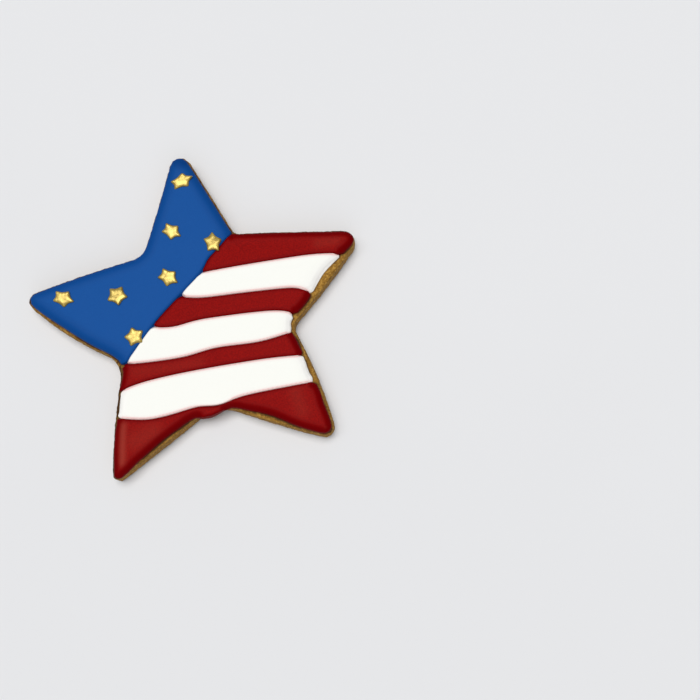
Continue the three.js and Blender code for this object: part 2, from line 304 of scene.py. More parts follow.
def paint(piece, name, values):
    """Writes one number for each vertex as an attribute that materials read."""
    attribute = piece.data.attributes.new(name, 'FLOAT', 'POINT')
    attribute.data.foreach_set("value", values.astype(np.float32))


def weigh(piece, name, values):
    """Writes one weight for each vertex as a vertex group that modifiers read."""
    group = piece.vertex_groups.new(name=name)
    for index, value in enumerate(values):
        group.add([index], float(value), 'REPLACE')
    return group.name


def nearest(rows, targets):
    """The target nearest to each row, seen from above."""
    tree = KDTree(len(targets))
    for index, (x, y, _) in enumerate(targets):
        tree.insert((x, y, 0), index)
    tree.balance()
    return targets[[tree.find((x, y, 0))[1] for x, y, _ in rows]]


def distances(rows, targets):
    """How far each row lies from the nearest target, seen from above."""
    return np.hypot(*(nearest(rows, targets) - rows)[:, :2].T)


def hand_in(piece, solids, material):
    """Dresses a finished piece, lets it ride on the cookie and stand for its solids."""
    piece.data.materials.clear()
    piece.data.materials.append(material)
    select_only(piece)
    bpy.ops.object.shade_smooth()
    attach(piece, BODY)
    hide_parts(*solids)


# Materials

# A Mix node has inputs of one name for each type, so they are told apart by number

MIX_FACTOR = 0
MIX_NUMBERS = (2, 3)
MIX_NUMBER_OUT = 0
MIX_COLOURS = (6, 7)
MIX_COLOUR_OUT = 2

# Patterns of the finishes: how close, how detailed, and where the second colour takes over

CRUMB = {"Scale": 1400.0, "Detail": 4.0, "Low": 0.48, "High": 0.60}
PITS = {"Scale": 1900.0, "Detail": 3.0, "Low": 0.55, "High": 0.64}
TOASTING = {"Scale": 210.0, "Detail": 5.0, "Low": 0.30, "High": 0.72}
DRYING = {"Scale": 2400.0, "Detail": 4.0, "Low": 0.34, "High": 0.66}
GOLD_DUST = {"Scale": 600.0, "Detail": 2.0, "Low": 0.30, "High": 0.65}
FLOOR_PATCHES = {"Scale": 3.0}

EVEN_TOASTING = 0.35               # share of the baked darkening and painted shade that has no patches
RAISED_PALENESS = 0.45
PIT_DARKNESS = 0.60
DOUGH_SHINE = 0.2
ICING_SHINE = 0.025
FLOOR_SHINE = 0.1
FLOOR_ROUGHNESS = 0.9

DOUGH_GRAIN = {"Coarse Scale": 900.0, "Fine Scale": 3600.0, "Fine Share": 0.4}
ICING_GRAIN = {"Coarse Scale": 500.0, "Fine Scale": 2600.0, "Fine Share": 0.35}
GOLD_GRAIN = {"Coarse Scale": 1500.0, "Fine Scale": 6000.0, "Fine Share": 0.3}
DOUGH_RELIEF = {"Strength": 0.8, "Distance": 0.00035}
ICING_RELIEF = {"Strength": 0.35, "Distance": 0.0001}
GOLD_RELIEF = {"Strength": 0.2, "Distance": 0.0001}


def feed(tree, node, inputs):
    """Puts a value or a link at each of these inputs of a node."""
    for key, value in inputs.items():
        if isinstance(value, bpy.types.NodeSocket):
            tree.links.new(value, node.inputs[key])
        else:
            node.inputs[key].default_value = value
    return node


def add_node(tree, kind, options=None, inputs=None):
    """A new node with these options and inputs."""
    node = tree.nodes.new('ShaderNode' + kind)
    for key, value in (options or {}).items():
        setattr(node, key, value)
    return feed(tree, node, inputs or {})


def opaque(rgb):
    """A colour with full alpha, as a colour socket takes it."""
    return (*rgb, 1.0)


def mix_colours(tree, factor, first, second):
    """Output of a node that mixes two colours, each a colour or a socket."""
    node = add_node(tree, 'Mix', {"data_type": 'RGBA'}, {
        MIX_FACTOR: factor, MIX_COLOURS[0]: first, MIX_COLOURS[1]: second,
    })
    return node.outputs[MIX_COLOUR_OUT]


def calculate(tree, operation, first, second):
    """Output of a node that works out one number from two, kept between 0 and 1."""
    options = {"operation": operation, "use_clamp": True}
    return add_node(tree, 'Math', options, {0: first, 1: second}).outputs["Value"]


def new_group(name, inputs, outputs):
    """An empty shader node group with these sockets, and its input and output nodes."""
    group = bpy.data.node_groups.new(name, 'ShaderNodeTree')
    for label, kind, value in inputs:
        socket = group.interface.new_socket(label, in_out='INPUT', socket_type=kind)
        if value is not None:
            socket.default_value = value
    for label, kind in outputs:
        group.interface.new_socket(label, in_out='OUTPUT', socket_type=kind)
    return group, group.nodes.new('NodeGroupInput'), group.nodes.new('NodeGroupOutput')


def mottling_group():
    """Two colours in soft patches, such as icing that dried unevenly or dough that browned."""
    name = "Mottling"
    if name in bpy.data.node_groups:
        return bpy.data.node_groups[name]
    group, given, out = new_group(
        name,
        [
            ("First", 'NodeSocketColor', (0.5, 0.5, 0.5, 1)),
            ("Second", 'NodeSocketColor', (0.2, 0.2, 0.2, 1)),
            ("Place", 'NodeSocketVector', None),
            ("Scale", 'NodeSocketFloat', 400.0),
            ("Detail", 'NodeSocketFloat', 4.0),
            ("Low", 'NodeSocketFloat', 0.4),
            ("High", 'NodeSocketFloat', 0.6),
        ],
        [("Color", 'NodeSocketColor'), ("Mask", 'NodeSocketFloat')],
    )
    noise = add_node(group, 'TexNoise', None, {
        "Vector": given.outputs["Place"],
        "Scale": given.outputs["Scale"],
        "Detail": given.outputs["Detail"],
    })
    band = add_node(group, 'MapRange', {"interpolation_type": 'SMOOTHSTEP'}, {
        "Value": noise.outputs["Fac"],
        "From Min": given.outputs["Low"],
        "From Max": given.outputs["High"],
    })
    mixed = mix_colours(
        group, band.outputs["Result"], given.outputs["First"], given.outputs["Second"])
    group.links.new(mixed, out.inputs["Color"])
    group.links.new(band.outputs["Result"], out.inputs["Mask"])
    return group


def grain_group():
    """Height of a fine grain laid over a coarser one, such as sugar crystals or crumb."""
    name = "Grain"
    if name in bpy.data.node_groups:
        return bpy.data.node_groups[name]
    group, given, out = new_group(
        name,
        [
            ("Place", 'NodeSocketVector', None),
            ("Coarse Scale", 'NodeSocketFloat', 600.0),
            ("Fine Scale", 'NodeSocketFloat', 3000.0),
            ("Fine Share", 'NodeSocketFloat', 0.5),
        ],
        [("Height", 'NodeSocketFloat')],
    )
    coarse = add_node(group, 'TexNoise', None, {
        "Vector": given.outputs["Place"], "Scale": given.outputs["Coarse Scale"], "Detail": 3.0,
    })
    fine = add_node(group, 'TexNoise', None, {
        "Vector": given.outputs["Place"], "Scale": given.outputs["Fine Scale"], "Detail": 2.0,
    })
    both = add_node(group, 'Mix', {"data_type": 'FLOAT'}, {
        MIX_FACTOR: given.outputs["Fine Share"],
        MIX_NUMBERS[0]: coarse.outputs["Fac"],
        MIX_NUMBERS[1]: fine.outputs["Fac"],
    })
    group.links.new(both.outputs[MIX_NUMBER_OUT], out.inputs["Height"])
    return group


def add_group(tree, group, inputs):
    """A group placed in a material with its own values."""
    return add_node(tree, 'Group', {"node_tree": group}, inputs)


def new_material(name):
    """An empty material: its tree, its shader and the place of each point on the piece."""
    material = bpy.data.materials.new(name)
    material.use_nodes = True
    tree = material.node_tree
    shader = tree.nodes["Principled BSDF"]
    place = tree.nodes.new('ShaderNodeTexCoord').outputs["Object"]
    return material, tree, shader, place


def painted(tree, name):
    """The number that paint() wrote for each vertex, as a socket."""
    return add_node(tree, 'Attribute', {"attribute_name": name}).outputs["Fac"]


def patches(tree, place, pattern):
    """Where the second colour of a mottling would lie, as a socket from 0 to 1."""
    return add_group(tree, mottling_group(), {"Place": place, **pattern}).outputs["Mask"]


def mottle(tree, place, pattern, first, second):
    """Two colours in soft patches, as a socket."""
    return add_group(tree, mottling_group(), {
        "First": opaque(first), "Second": opaque(second), "Place": place, **pattern,
    }).outputs["Color"]


def roughen(tree, shader, place, grain, relief):
    """Lets a fine grain roughen a shader's surface."""
    height = add_group(tree, grain_group(), {"Place": place, **grain}).outputs["Height"]
    node = add_node(tree, 'Bump', None, {"Height": height, **relief})
    tree.links.new(node.outputs["Normal"], shader.inputs["Normal"])


def dough_material(sizes):
    """Golden dough, pale in the crumb and baked darker at the edges, with painted shade beside the
    icing and along the far top edge.
    """
    material, tree, shader, place = new_material("baked dough")
    browned_and_shaded = painted(tree, "browning")
    in_patches = calculate(tree, 'MULTIPLY', browned_and_shaded, patches(tree, place, TOASTING))
    evenly = calculate(tree, 'MULTIPLY', browned_and_shaded, EVEN_TOASTING)
    toasted_and_shaded = calculate(tree, 'ADD', in_patches, evenly)
    raised = calculate(tree, 'MULTIPLY', painted(tree, "raised"), RAISED_PALENESS)
    pitted = calculate(tree, 'MULTIPLY', patches(tree, place, PITS), PIT_DARKNESS)
    surface = mottle(tree, place, CRUMB, sizes.golden, sizes.pale)
    surface = mix_colours(tree, raised, surface, opaque(sizes.pale))
    surface = mix_colours(tree, pitted, surface, opaque(sizes.brown_and_shade))
    # baked colour at the edges, with painted shade beside the icing and along the far top edge
    surface = mix_colours(tree, toasted_and_shaded, surface, opaque(sizes.brown_and_shade))
    feed(tree, shader, {
        "Base Color": surface, "Roughness": sizes.roughness, "Specular IOR Level": DOUGH_SHINE,
    })
    roughen(tree, shader, place, DOUGH_GRAIN, DOUGH_RELIEF)
    return material


def icing_material(name, middle, edge, roughness, mottling, bleed=None, pale=None):
    """Dried icing, faintly mottled and satin, with an edge colour at the rim and seams (thin icing and
    painted shade on blue and red, painted light on white) and any painted highlights.
    """
    material, tree, shader, place = new_material(name)
    mottled = [m + (e - m) * mottling for m, e in zip(middle, edge)]
    surface = mottle(tree, place, DRYING, middle, mottled)
    # painted highlights, where given
    if pale is not None:
        surface = mix_colours(tree, painted(tree, "pale"), surface, opaque(pale))
    surface = mix_colours(tree, painted(tree, "rim"), surface, opaque(edge))
    if bleed is not None:
        surface = mix_colours(tree, painted(tree, "bleed"), surface, opaque(bleed))
    feed(tree, shader, {
        "Base Color": surface, "Roughness": roughness, "Specular IOR Level": ICING_SHINE,
    })
    roughen(tree, shader, place, ICING_GRAIN, ICING_RELIEF)
    return material


def gold_material(sizes):
    """Sugar dusted with gold: satin, brighter in patches, with painted shade on the steep edges."""
    material, tree, shader, place = new_material("gold sugar")
    surface = mottle(tree, place, GOLD_DUST, sizes.dark, sizes.gold)
    surface = mix_colours(tree, painted(tree, "edge"), surface, opaque(sizes.edge_shade))
    feed(tree, shader, {
        "Base Color": surface, "Roughness": sizes.roughness, "Metallic": sizes.metal,
    })
    roughen(tree, shader, place, GOLD_GRAIN, GOLD_RELIEF)
    return material


# The dough

DOUGH_EVENING = 6
FLAT_FROM = 0.9                    # flats have normals that rise or dip more than this
FLAT_RELIEF = 0.12                 # share of the swellings and the crumb that the flats have
SWELLING_SIZE = 0.0045
CRUMB_SIZE = 0.0011
CRUMB_DETAIL = 3
CRUMB_CONTRAST = 1.6
RAISED = (-0.4, 0.5)               # shares of the crumb's height, between which it turns pale

PORES = 420                        # over the whole box, most of them miss the cookie
PORE_SEED = 7
PORE_WIDTHS = (0.0005, 0.0013)
PORE_DEPTHS = (0.3, 1.0)           # shares of the deepest
UNDER_FROM = -0.7                  # the underside has normals that dip more than this

FACES_UP = 0.5                     # the top has normals that rise more than this
BROWN = 0.12                       # browning all over
BROWN_FOOT = 0.75                  # more of it at the lower edge, which fades out over this height
FOOT_HEIGHT = 0.0009
BROWN_UNDER = 0.20
BROWN_UNDER_RIM = 0.55             # more of it at the rim of the underside, which fades inwards
UNDER_RIM_REACH = 0.006
# painted shade: a thin darker line on the dough beside the icing's foot
SHADE_BESIDE_ICING = 1.1
ICING_LINE = 0.0005                # reach of the painted shade on the dough beside the icing
OUTLINE_STEP = 0.0003
SHADE_FAR_EDGE = 1.8               # painted shade along the far top edge; past 1 the patches in it close up
FAR_EDGE_REACH = 0.0007
FAR_EDGE_DEPTHS = (0.0012, 0.0004) # below the top, where its painted shade starts and is full
DRAW_BACK_FROM = (-0.75, 0.66)     # the far side, where the icing is drawn back and the dough's edge shows, painted dark as shade
FACING = (0.1, 0.7)                # how squarely an edge faces that way for none and all of it
FACING_UNIT = 0.0005               # a step of this length to the side counts as much as a normal


def icing_outlines():
    """Places along the lower edges of all the icing, close together."""
    found = []
    for solid in [BLUE_SOLID, *RED_SOLIDS, *WHITE_SOLIDS]:
        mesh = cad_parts[solid].data
        for edge in mesh.edges:
            start, end = (mesh.vertices[index].co for index in edge.vertices)
            if max(start.z, end.z) > DOUGH_TOP + LEVEL:
                continue
            steps = max(1, int((end - start).length / OUTLINE_STEP))
            found += [tuple(start.lerp(end, step / steps)) for step in range(steps + 1)]
    return np.array(found)


class COOKIE_OT_dough(bpy.types.Operator):
    """Bake the dough"""

    bl_idname = "cookie.dough"
    bl_label = "Dough"

    def execute(self, context):
        sizes = context.scene.cookie_dough
        piece = copy_of_solid(DOUGH_SOLID, "dough")
        apply_modifier(piece, 'REMESH', mode='VOXEL', voxel_size=sizes.grid)
        even_out(piece, DOUGH_EVENING)
        side = 1 - smooth_step(np.abs(directions(piece)[:, 2]), UPRIGHT, FLAT_FROM)
        group = weigh(piece, "side", FLAT_RELIEF + (1 - FLAT_RELIEF) * side)
        smooth_rows, outward = places(piece), directions(piece)
        ruffle(piece, clouds("swellings", SWELLING_SIZE), sizes.swell, vertex_group=group)
        crumb = clouds("coarse crumb", CRUMB_SIZE, CRUMB_DETAIL, CRUMB_CONTRAST)
        ruffle(piece, crumb, sizes.crumb, vertex_group=group)
        raised = ((places(piece) - smooth_rows) * outward).sum(axis=1)
        low, high = (part * sizes.crumb for part in RAISED)
        paint(piece, "raised", smooth_step(raised, low, high))
        self.prick_underside(piece, sizes.pore)
        self.flatten_underside(piece)
        self.paint_browning_and_shade(piece)
        hand_in(piece, [DOUGH_SOLID], dough_material(sizes))
        return {'FINISHED'}

    def prick_underside(self, piece, deepest):
        """Steam leaves small round pores in the underside."""
        rows = places(piece)
        under = directions(piece)[:, 2] < UNDER_FROM
        chance = np.random.default_rng(PORE_SEED)
        (left, front, _), (right, back, _) = CAD_BOX
        middles = np.column_stack([
            chance.uniform(left, right, PORES), chance.uniform(front, back, PORES)])
        widths = chance.uniform(*PORE_WIDTHS, PORES)
        depths = chance.uniform(*PORE_DEPTHS, PORES) * deepest
        for middle, width, depth in zip(middles, widths, depths):
            away = np.hypot(rows[:, 0] - middle[0], rows[:, 1] - middle[1]) / width
            hit = under & (away < 1)
            rows[hit, 2] += depth * (1 - away[hit] ** 2) ** 2
        move_to(piece, rows)

    def flatten_underside(self, piece):
        """Nothing hangs below the tray that the dough was baked on."""
        rows = places(piece)
        rows[:, 2] = np.maximum(rows[:, 2], 0.0)
        move_to(piece, rows)

    def paint_browning_and_shade(self, piece):
        """The lower edge and the rim of the underside bake darker first; beside the icing and along
        the far edge of the top the dough gets painted shade.
        """
        rows, out = places(piece), directions(piece)
        side = rows[np.abs(out[:, 2]) < UPRIGHT]
        to_side = (nearest(rows, side) - rows)[:, :2]
        inward = np.hypot(*to_side.T)
        browning = BROWN + BROWN_FOOT * np.exp(-rows[:, 2] / FOOT_HEIGHT)
        under = BROWN_UNDER + BROWN_UNDER_RIM * np.exp(-inward / UNDER_RIM_REACH)
        browning = np.where(out[:, 2] < -FACES_UP, under, browning)
        # painted shade in a thin line where the icing overhangs the top of the dough
        beside_icing = np.exp(-(distances(rows, icing_outlines()) / ICING_LINE) ** 2)
        on_top = BROWN + SHADE_BESIDE_ICING * beside_icing
        browning = np.where(out[:, 2] > FACES_UP, on_top, browning)
        # painted shade on the top edge of the dough that faces the far side
        facing = (out[:, :2] + to_side / FACING_UNIT) @ np.array(DRAW_BACK_FROM)
        start, full = (DOUGH_TOP - depth for depth in FAR_EDGE_DEPTHS)
        near_top = smooth_step(rows[:, 2], start, full)
        at_edge = near_top * np.exp(-(inward / FAR_EDGE_REACH) ** 2)
        far_edge_shade = SHADE_FAR_EDGE * smooth_step(facing, *FACING) * at_edge
        paint(piece, "browning", np.maximum(browning, far_edge_shade))


# The icing

ICING_EVENING = 3                  # rounds of smoothing all over
SHOULDER_EVENING = 6               # rounds that smooth the height alone, so outlines stay in place
WAVE_SIZE = 0.009

DOUGH_SIDE = 0.3                   # icing is measured from where the dough's side is this upright
DOUGH_SIDE_SHARE = 3               # one in so many of its points is enough
WALL_FOOT = 0.0002                 # a wall of icing counts from this height above the dough
RIM_REACH = 0.0015                 # within this of the dough's side it belongs to the outer rim,
WALL_BEHIND = -0.0001              # unless the side lies further than this behind it
SHELF_REACH = 0.0034               # so does a wall this far off that faces the side squarely
SHELF_FACING = 0.85
FAR_OFF = 1.0                      # distance to a kind of wall that a piece hasn't got
TOP_FROM = 0.2                     # the top has normals that rise more than this
RIDGE_WIDTH = 0.0007

FLANGE = 0.0004                    # a colour runs this far under its neighbours, to close gaps
FLANGE_TOP = 0.00078
INLAND = (0.0012, 0.0030)          # distances from the dough's side where that starts and is full

FORMS = {                          # metres above the dough, widths of the rounded shoulders, tints of the edge colour: thin icing and painted shade, painted light on the white
    "blue": {"height": 0.0021, "rim_wall": 0.0007, "rim": 0.0026, "seam_wall": 0.0017,
             "seam": 0.0008, "ridge": 0.00005, "rim_tint": 0.50, "seam_tint": 0.30,
             "rim_fade": 0.0046, "ends_at_drop": True},
    "red": {"height": 0.0019, "rim_wall": 0.0006, "rim": 0.0022, "seam_wall": 0.00175,
            "seam": 0.0005, "ridge": 0.00008, "rim_tint": 1.0, "seam_tint": 0.70,
            "rim_fade": 0.0032, "ends_at_drop": True},
    "white": {"height": 0.0021, "rim_wall": 0.0003, "rim": 0.0040, "seam_wall": 0.00185,
              "seam": 0.0005, "ridge": 0.0, "rim_tint": 1.0, "seam_tint": 0.50,
              "rim_fade": 0.0032, "ends_at_drop": False},
}
NEAR_RIM = (0.0006, 0.0016)        # distances from the rim where the spread starts and is full
RIM_SPREAD = 0.15                  # share of the spread at the rim, where dough shows beyond it
DRAW_BACK = 0.00028                # how far the rim is drawn back on the far side
DRAW_BACK_REACH = 0.0015
CORNER_FILL = 0.00020              # how far the icing fills in where a seam meets the rim
CORNER_REACH = 0.0009
RIM_TINT_FROM = 0.0006             # from the rim the tint fades from here, by a colour's rim_fade
SEAM_TINT = (0.0001, 0.0012)       # from a seam it fades between these distances

DROP_PLACE = (0.0066, -0.0298)     # the drop of red that ran over the edge
DROP_REACH = 0.0042                # the red is smoothed within this of it
DROP_EVENING = 16
NECK_REACH = 0.0120                # within this of it the white ends at the red, not at the dough
TIP_REACH = 0.0060                 # within this of its top tip the blue gets painted shade
TIP_SHADE = 0.85
BLEED_STRENGTH = 0.8
HIGHLIGHT_PATCHES = [                   # painted highlights: both ends of each patch, its width and its strength
    ((-0.0192, -0.0340), (-0.0190, -0.0448), 0.0013, 0.60),
    ((-0.0155, -0.0385), (-0.0100, -0.0360), 0.0035, 0.20),
    ((0.0385, 0.0218), (0.0440, 0.0224), 0.0016, 0.18),
    ((0.0320, -0.0240), (0.0340, -0.0295), 0.0024, 0.15),
    ((0.0412, -0.0347), (0.0414, -0.0347), 0.0006, 0.70),
    ((-0.0155, -0.0180), (0.0030, -0.0152), 0.0020, 0.12),
]


def shoulder(distance, wall, top, width):
    """Height of a quarter-round shoulder that rises from a wall to the top over a width."""
    share_in = np.clip(distance / width, 0, 1)
    return wall + (top - wall) * np.sqrt(1 - (1 - share_in) ** 2)


def split_walls(rows, out, form, dough_side):
    """The points of the icing's walls, those at the outer rim and those along the seams."""
    in_wall = (np.abs(out[:, 2]) < UPRIGHT) & (rows[:, 2] > DOUGH_TOP + WALL_FOOT)
    walls = rows[in_wall]
    to_side = (nearest(walls, dough_side) - walls)[:, :2]
    away = np.hypot(*to_side.T)
    ahead = (to_side * out[in_wall][:, :2]).sum(axis=1)
    at_rim = (away < RIM_REACH) & (ahead > WALL_BEHIND)
    at_rim |= (away < SHELF_REACH) & (ahead > SHELF_FACING * away)
    if not form["ends_at_drop"]:
        at_rim &= np.hypot(*(walls[:, :2] - DROP_PLACE).T) > NECK_REACH
    return walls[at_rim], walls[~at_rim]


def settle(piece, form, dough_side):
    """Rounds the top down to the walls, widely at the outer rim and tightly along the seams, and
    returns how far each point lies from the two."""
    rows, out = places(piece), directions(piece)
    to_rim, to_seam = (
        distances(rows, walls) if len(walls) else np.full(len(rows), FAR_OFF)
        for walls in split_walls(rows, out, form, dough_side)
    )
    height = np.minimum(
        shoulder(to_rim, form["rim_wall"], form["height"], form["rim"]),
        shoulder(to_seam, form["seam_wall"], form["height"], form["seam"]),
    )
    height += form["ridge"] * np.exp(-((to_rim - form["rim"]) / RIDGE_WIDTH) ** 2)
    above = rows[:, 2] > DOUGH_TOP
    top = above & (out[:, 2] > TOP_FROM)
    rows[top, 2] = DOUGH_TOP + height[top]
    rows[above, 2] = np.minimum(rows[above, 2], DOUGH_TOP + height[above])
    low_wall = (np.abs(out[:, 2]) < UPRIGHT) & (rows[:, 2] < DOUGH_TOP + FLANGE_TOP)
    push = FLANGE * low_wall * smooth_step(distances(rows, dough_side), *INLAND)
    rows[:, :2] += out[:, :2] * push[:, None]
    move_to(piece, rows)
    return to_rim, to_seam


def trim_rim(piece, to_rim, to_seam):
    """Draws the rim back behind and to the left, where a thin line of dough shows beyond it, and
    fills the corners where a seam runs out over the rim."""
    rows, out = places(piece), directions(piece)
    facing = np.clip(out[:, :2] @ np.array(DRAW_BACK_FROM), 0, 1)
    corner = np.exp(-(to_seam / CORNER_REACH) ** 2 - (to_rim / CORNER_REACH) ** 2)
    near_rim = 1 - smooth_step(to_rim, 0.0, DRAW_BACK_REACH)
    amount = DRAW_BACK * facing * near_rim * (1 - corner) - CORNER_FILL * corner
    rows[:, :2] -= out[:, :2] * amount[:, None]
    move_to(piece, rows)


def flood(solid, name, kind, sizes):
    """Icing that has run into the outline of one solid and dried."""
    form = FORMS[kind]
    piece = copy_of_solid(solid, name)
    rows = places(piece)
    at_foot = np.abs(rows[:, 2] - DOUGH_TOP) < LEVEL
    rows[at_foot, 2] = DOUGH_TOP - sizes.foot
    move_to(piece, rows)
    apply_modifier(piece, 'REMESH', mode='VOXEL', voxel_size=sizes.grid)
    even_out(piece, ICING_EVENING)
    to_rim, to_seam = settle(piece, form, side_of_dough())
    even_out(piece, SHOULDER_EVENING, use_x=False, use_y=False)
    spread = RIM_SPREAD + (1 - RIM_SPREAD) * smooth_step(to_rim, *NEAR_RIM)
    apply_modifier(
        piece, 'DISPLACE', strength=sizes.spread, mid_level=0.0,
        vertex_group=weigh(piece, "spread", spread))
    ruffle(piece, clouds(name + " waves", WAVE_SIZE, 1), sizes.unevenness, direction='Z')
    trim_rim(piece, to_rim, to_seam)
    # the edge colour at the rim and seams: thin icing and painted shade on the blue and red, painted
    # light on the white
    at_rim = 1 - smooth_step(to_rim, RIM_TINT_FROM, form["rim_fade"])
    at_seam = 1 - smooth_step(to_seam, *SEAM_TINT)
    paint(piece, "rim", np.maximum(form["rim_tint"] * at_rim, form["seam_tint"] * at_seam))
    return piece


def side_of_dough():
    """Places on the upright side of the dough."""
    dough = bpy.data.objects["dough"]
    rows = places(dough)
    return rows[np.abs(directions(dough)[:, 2]) < DOUGH_SIDE][::DOUGH_SIDE_SHARE]


class COOKIE_OT_blue_icing(bpy.types.Operator):
    """Flood the blue field"""

    bl_idname = "cookie.blue_icing"
    bl_label = "Blue icing"

    def execute(self, context):
        sizes = context.scene.cookie_icing
        piece = flood(BLUE_SOLID, "blue_field", "blue", sizes)
        self.paint_tip_shade(piece)
        material = icing_material(
            "blue icing", sizes.blue, sizes.blue_thin_and_shaded, roughness=0.42, mottling=0.12)
        hand_in(piece, [BLUE_SOLID], material)
        return {'FINISHED'}

    def paint_tip_shade(self, piece):
        """Painted shade: the blue is painted darker out in the top tip."""
        rows = places(piece)
        tip = rows[rows[:, 1].argmax()]
        away = np.hypot(rows[:, 0] - tip[0], rows[:, 1] - tip[1])
        rim = piece.data.attributes["rim"].data
        values = np.zeros(len(rim), dtype=np.float32)
        rim.foreach_get("value", values)
        # painted shade that fades away from the tip
        thin = TIP_SHADE * (1 - smooth_step(away, TIP_REACH / 3, TIP_REACH))
        rim.foreach_set("value", np.maximum(values, thin).astype(np.float32))


class COOKIE_OT_red_icing(bpy.types.Operator):
    """Flood the four red stripes"""

    bl_idname = "cookie.red_icing"
    bl_label = "Red icing"

    def execute(self, context):
        sizes = context.scene.cookie_icing
        material = icing_material(
            "red icing", sizes.red, sizes.red_thin_and_shaded, roughness=0.45, mottling=0.60,
            pale=sizes.red_highlight)
        for number, solid in enumerate(RED_SOLIDS, 1):
            piece = flood(solid, f"red_band_{number}", "red", sizes)
            self.ease_drop(piece)
            self.paint_highlights(piece)
            hand_in(piece, [solid], material)
        return {'FINISHED'}

    def paint_highlights(self, piece):
        """Painted highlights: here and there the red is painted paler, in long soft patches."""
        rows = places(piece)[:, :2]
        pale = np.zeros(len(rows))
        for start, end, width, strength in HIGHLIGHT_PATCHES:
            start, end = np.array(start), np.array(end)
            run = end - start
            along = np.clip((rows - start) @ run / (run @ run), 0, 1)
            away = np.linalg.norm(rows - start - along[:, None] * run, axis=1)
            pale = np.maximum(pale, strength * np.exp(-(away / width) ** 2))
        paint(piece, "pale", pale)

    def ease_drop(self, piece):
        """Lets the drop in the crotch run smoothly out of the icing above it."""
        rows = places(piece)
        away = np.hypot(rows[:, 0] - DROP_PLACE[0], rows[:, 1] - DROP_PLACE[1])
        near = 1 - smooth_step(away, 0.5 * DROP_REACH, DROP_REACH)
        if near.max() == 0:
            return
        even_out(piece, DROP_EVENING, vertex_group=weigh(piece, "drop", near))


class COOKIE_OT_white_icing(bpy.types.Operator):
    """Flood the three white stripes"""

    bl_idname = "cookie.white_icing"
    bl_label = "White icing"

    def execute(self, context):
        sizes = context.scene.cookie_icing
        bands = [f"red_band_{number}" for number in range(1, len(RED_SOLIDS) + 1)]
        reds = np.vstack([places(bpy.data.objects[band]) for band in bands])
        material = icing_material(
            "white icing", sizes.white, sizes.white_painted_light, roughness=0.45, mottling=0.2,
            bleed=sizes.bleed)
        for number, solid in enumerate(WHITE_SOLIDS, 1):
            piece = flood(solid, f"white_band_{number}", "white", sizes)
            beyond = distances(places(piece), reds)
            paint(piece, "bleed", BLEED_STRENGTH * np.exp(-beyond / sizes.bleed_reach))
            hand_in(piece, [solid], material)
        return {'FINISHED'}


# The gold stars

STAR_POINTS = 5
STAR_BASE = 0.16                   # height of the first disc as a share of the whole
STAR_STEPS = [                     # rise of each step as a share of the height, and its size
    (0.40, 1.03),
    (0.28, 0.97),
    (0.16, 0.84),
    (0.08, 0.58),
]
STAR_PEAK = 0.02                   # the rest of the height, up to the middle
STAR_ROUNDING = 3                  # levels of subdivision that round the steps off
STAR_EVENING = 12
STAR_GROWTH = 1.09                 # the rounding of the corners takes this much away again
DENT_SIZE = 0.0015
DENT_CONTRAST = 1.3
STEEP_SHADE = 0.8
STEEP = (0.0, 0.5)                 # an edge that rises this little has all of the painted shade, this much none
STAR_LAYS = [                      # how each star lies: degrees, stretch, and millimetres off
    {"turn": 22, "tilt": 10, "across": 1.24, "up": 0.62, "drift": (0.15, -0.30)},
    {"turn": -25.6, "tilt": 4, "across": 1.08, "up": 0.71, "drift": (0.29, 0.0)},
    {"turn": 20, "tilt": -3, "across": 0.86, "up": 1.06, "drift": (0.27, -0.55)},
    {"turn": -28, "tilt": 5, "across": 1.12, "up": 0.77, "drift": (0.32, -0.12)},
    {"turn": -7, "tilt": -4, "across": 1.0, "up": 0.98, "drift": (0.05, 0.12)},
    {"turn": -15, "tilt": 6, "across": 1.08, "up": 0.81, "drift": (0.0, 0.25)},
    {"turn": 36, "tilt": 3, "across": 1.02, "up": 0.84, "drift": (0.30, -0.20)},
]


def model_star(sizes):
    """One plump star at the origin: a disc with drawn-in notches, raised in steps to a peak."""
    select_none()
    base = STAR_BASE * sizes.height
    bpy.ops.mesh.primitive_cylinder_add(
        vertices=2 * STAR_POINTS, radius=sizes.tip * STAR_GROWTH, depth=base,
        end_fill_type='NGON', location=(0, 0, base / 2),
    )
    star = bpy.context.active_object
    star.name = "star_model"
    bpy.ops.object.transform_apply(location=True)
    bpy.ops.object.mode_set(mode='EDIT')
    between = sizes.notch / sizes.tip
    turn = math.pi / STAR_POINTS

    def in_notch(vertex):
        angle = math.atan2(vertex.co.y, vertex.co.x) - math.pi / 2
        return round(angle / turn) % 2 == 1

    def on_top(face):
        return face.calc_center_median().z > 0.9 * base

    select_where(star, 'VERT', in_notch)
    bpy.ops.transform.resize(value=(between, between, 1), center_override=(0, 0, 0))
    select_where(star, 'FACE', on_top)
    size = 1.0
    for rise, scale in STAR_STEPS:
        bpy.ops.mesh.extrude_region_move(
            TRANSFORM_OT_translate={"value": (0, 0, rise * sizes.height)})
        ratio = scale / size
        bpy.ops.transform.resize(value=(ratio, ratio, 1), center_override=(0, 0, 0))
        size = scale
    bpy.ops.mesh.poke(offset=STAR_PEAK * sizes.height)
    bpy.ops.mesh.select_all(action='SELECT')
    bpy.ops.mesh.normals_make_consistent(inside=False)
    bpy.ops.object.mode_set(mode='OBJECT')
    apply_modifier(star, 'SUBSURF', subdivision_type='SIMPLE', levels=1, render_levels=1)
    apply_modifier(star, 'SUBSURF', levels=STAR_ROUNDING, render_levels=STAR_ROUNDING)
    even_out(star, STAR_EVENING)
    return star


